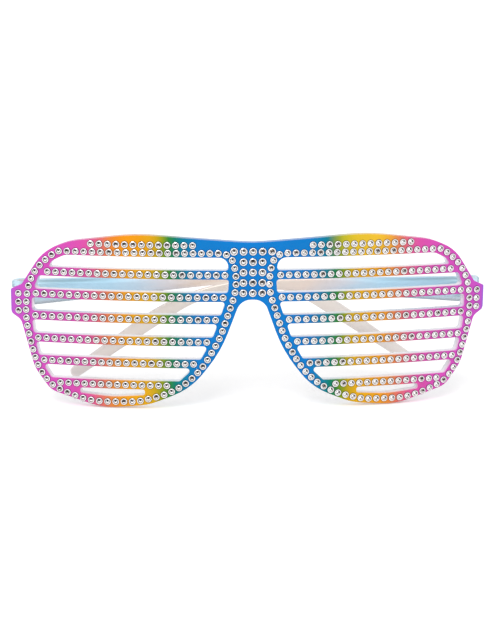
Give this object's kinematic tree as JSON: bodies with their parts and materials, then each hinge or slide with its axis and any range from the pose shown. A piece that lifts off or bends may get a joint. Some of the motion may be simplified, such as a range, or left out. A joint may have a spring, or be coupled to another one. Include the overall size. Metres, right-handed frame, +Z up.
{
  "type": "party glasses",
  "caption": "Shutter-style party glasses: a wrapped, slatted front set with faceted stones, and two folding arms with ear hooks on pinned hinges.",
  "frame": {"origin": "middle of the nose arch, halfway through the thickness of the front", "axes": "+X to the wearer's left along the width, +Y back from the front face towards the ears, +Z up"},
  "size_m": [0.1481, 0.0368, 0.0543],
  "materials": {
    "front_plastic": "glossy, printed on the face from blue at the bridge through green, gold and coral to pink at the ends; pearl white sides and back",
    "arm_plastic": "glossy pearl, pale blue at the hinge to pale pink at the hook",
    "stones": "clear faceted stones over a silver foil",
    "pin_steel": "plain"
  },
  "bodies": {
    "front": {"front_frame": "front_plastic", "left_hinge_pin": "pin_steel", "right_hinge_pin": "pin_steel", "rim_stones_left": "stones", "rim_stones_right": "stones", "brow_stones_left": "stones", "brow_stones_right": "stones", "slat_1_stones_left": "stones", "slat_2_stones_left": "stones", "slat_3_stones_left": "stones", "slat_4_stones_left": "stones", "slat_5_stones_left": "stones", "slat_6_stones_left": "stones", "slat_1_stones_right": "stones", "slat_2_stones_right": "stones", "slat_3_stones_right": "stones", "slat_4_stones_right": "stones", "slat_5_stones_right": "stones", "slat_6_stones_right": "stones", "bridge_stones": "stones", "endpiece_stones_left": "stones", "endpiece_stones_right": "stones"},
    "right_arm": {"right_temple": "arm_plastic"},
    "left_arm": {"left_temple": "arm_plastic"}
  },
  "joints": [
    {"name": "right_temple_hinge", "type": "hinge", "parent": "front", "child": "right_arm", "pos_m": [-0.0706, 0.01678, -0.0012], "axis": [0, 0, 1], "range_deg": [0, 92]},
    {"name": "left_temple_hinge", "type": "hinge", "parent": "front", "child": "left_arm", "pos_m": [0.0706, 0.01678, -0.0012], "axis": [0, 0, -1], "range_deg": [0, 86.5]}
  ],
  "couplings": [
    {"joint": "left_temple_hinge", "follows": "right_temple_hinge", "ratio": 0.94}
  ]
}
